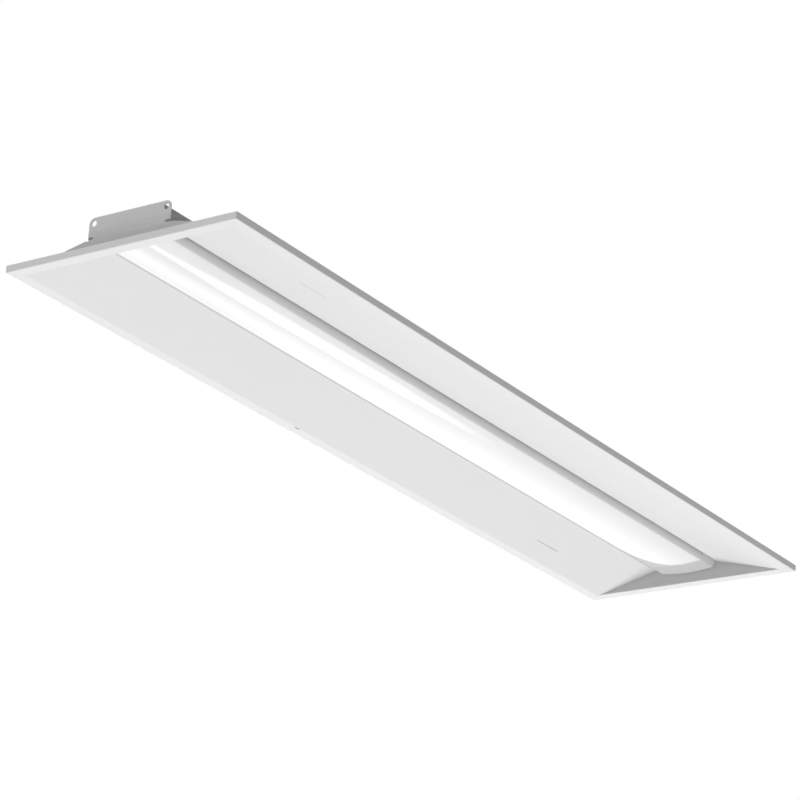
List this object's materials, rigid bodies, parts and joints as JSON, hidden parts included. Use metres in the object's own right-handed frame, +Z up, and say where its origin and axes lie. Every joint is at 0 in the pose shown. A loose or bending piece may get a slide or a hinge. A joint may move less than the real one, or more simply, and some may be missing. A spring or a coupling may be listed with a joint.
{
  "type": "recessed troffer light",
  "caption": "Shallow recessed troffer light for a lay-in ceiling grid: sloping white wings, a full-length central diffuser, lamp boards behind it and a driver box on its back.",
  "frame": {"origin": "centre of the light in plan, on the underside of the rim that rests on the ceiling grid", "axes": "+X along the light's length, +Y across it to the side with the driver box, +Z up into the ceiling"},
  "size_m": [1.213, 0.302, 0.048],
  "materials": {
    "white_sheet": "satin white powder coat",
    "diffuser": "satin opal plastic",
    "galvanised_sheet": "galvanised",
    "zinc_steel": "zinc plated",
    "spring_steel": "satin",
    "aluminium": "satin",
    "board_white": "white solder mask",
    "led_yellow": "phosphor under clear resin",
    "driver_metal": "white paint",
    "white_plastic": "moulded",
    "grey_plastic": "moulded",
    "black_plastic": "moulded",
    "orange_plastic": "moulded",
    "black_wire": "insulation",
    "white_wire": "insulation",
    "green_wire": "insulation",
    "red_wire": "insulation",
    "green_screw": "green dye"
  },
  "bodies": {
    "housing": {"side_panel_left": "white_sheet", "side_panel_right": "white_sheet", "roof_channel": "galvanised_sheet", "roof_screws": "zinc_steel", "end_plate_far": "white_sheet", "end_plate_near": "white_sheet", "light_baffle_far": "white_sheet", "light_baffle_near": "white_sheet", "led_board_1": "board_white", "led_board_2": "board_white", "led_board_3": "board_white", "led_board_4": "board_white", "led_packages_1": "led_yellow", "led_packages_2": "led_yellow", "led_packages_3": "led_yellow", "led_packages_4": "led_yellow", "board_screws": "zinc_steel", "board_connectors": "white_plastic", "board_links": "white_wire", "lens_clips_left": "spring_steel", "lens_clips_right": "spring_steel", "lens_clip_rivets": "aluminium", "driver_box": "galvanised_sheet", "driver_box_end_near": "galvanised_sheet", "driver_box_end_far": "galvanised_sheet", "driver_box_screws": "zinc_steel", "hinge_pins": "zinc_steel", "driver_base": "driver_metal", "driver_case": "driver_metal", "driver_terminal_in": "grey_plastic", "driver_terminal_out": "grey_plastic", "driver_studs": "zinc_steel", "driver_nuts": "zinc_steel", "cable_bushing": "black_plastic", "knockout_disc": "galvanised_sheet", "wire_connectors": "orange_plastic", "lead_live": "black_wire", "lead_neutral": "white_wire", "lead_ground": "green_wire", "ground_terminal": "zinc_steel", "ground_screw": "green_screw", "lead_grommet": "black_plastic", "lead_led_plus": "red_wire", "lead_led_minus": "black_wire", "clip_bracket_left": "galvanised_sheet", "clip_bracket_right": "galvanised_sheet", "clip_pin_left": "zinc_steel", "clip_pin_right": "zinc_steel"},
    "lens": {"lens": "diffuser"},
    "driver_cover": {"driver_cover": "galvanised_sheet"},
    "grid_clip_left": {"grid_clip_left": "galvanised_sheet"},
    "grid_clip_right": {"grid_clip_right": "galvanised_sheet"}
  },
  "joints": [
    {"name": "lens_removal", "type": "slide", "parent": "housing", "child": "lens", "axis": [0, 0, -1], "range_m": [0, 0.1]},
    {"name": "driver_cover_hinge", "type": "hinge", "parent": "housing", "child": "driver_cover", "pos_m": [-0.239, 0.04645, 0.0454], "axis": [1, 0, 0], "range_deg": [0, 100]},
    {"name": "grid_clip_left_hinge", "type": "hinge", "parent": "housing", "child": "grid_clip_left", "pos_m": [0.407, 0.11161, 0.01154], "axis": [-1, 0, 0], "range_deg": [0, 132]},
    {"name": "grid_clip_right_hinge", "type": "hinge", "parent": "housing", "child": "grid_clip_right", "pos_m": [-0.407, -0.11161, 0.01154], "axis": [1, 0, 0], "range_deg": [0, 132]}
  ]
}
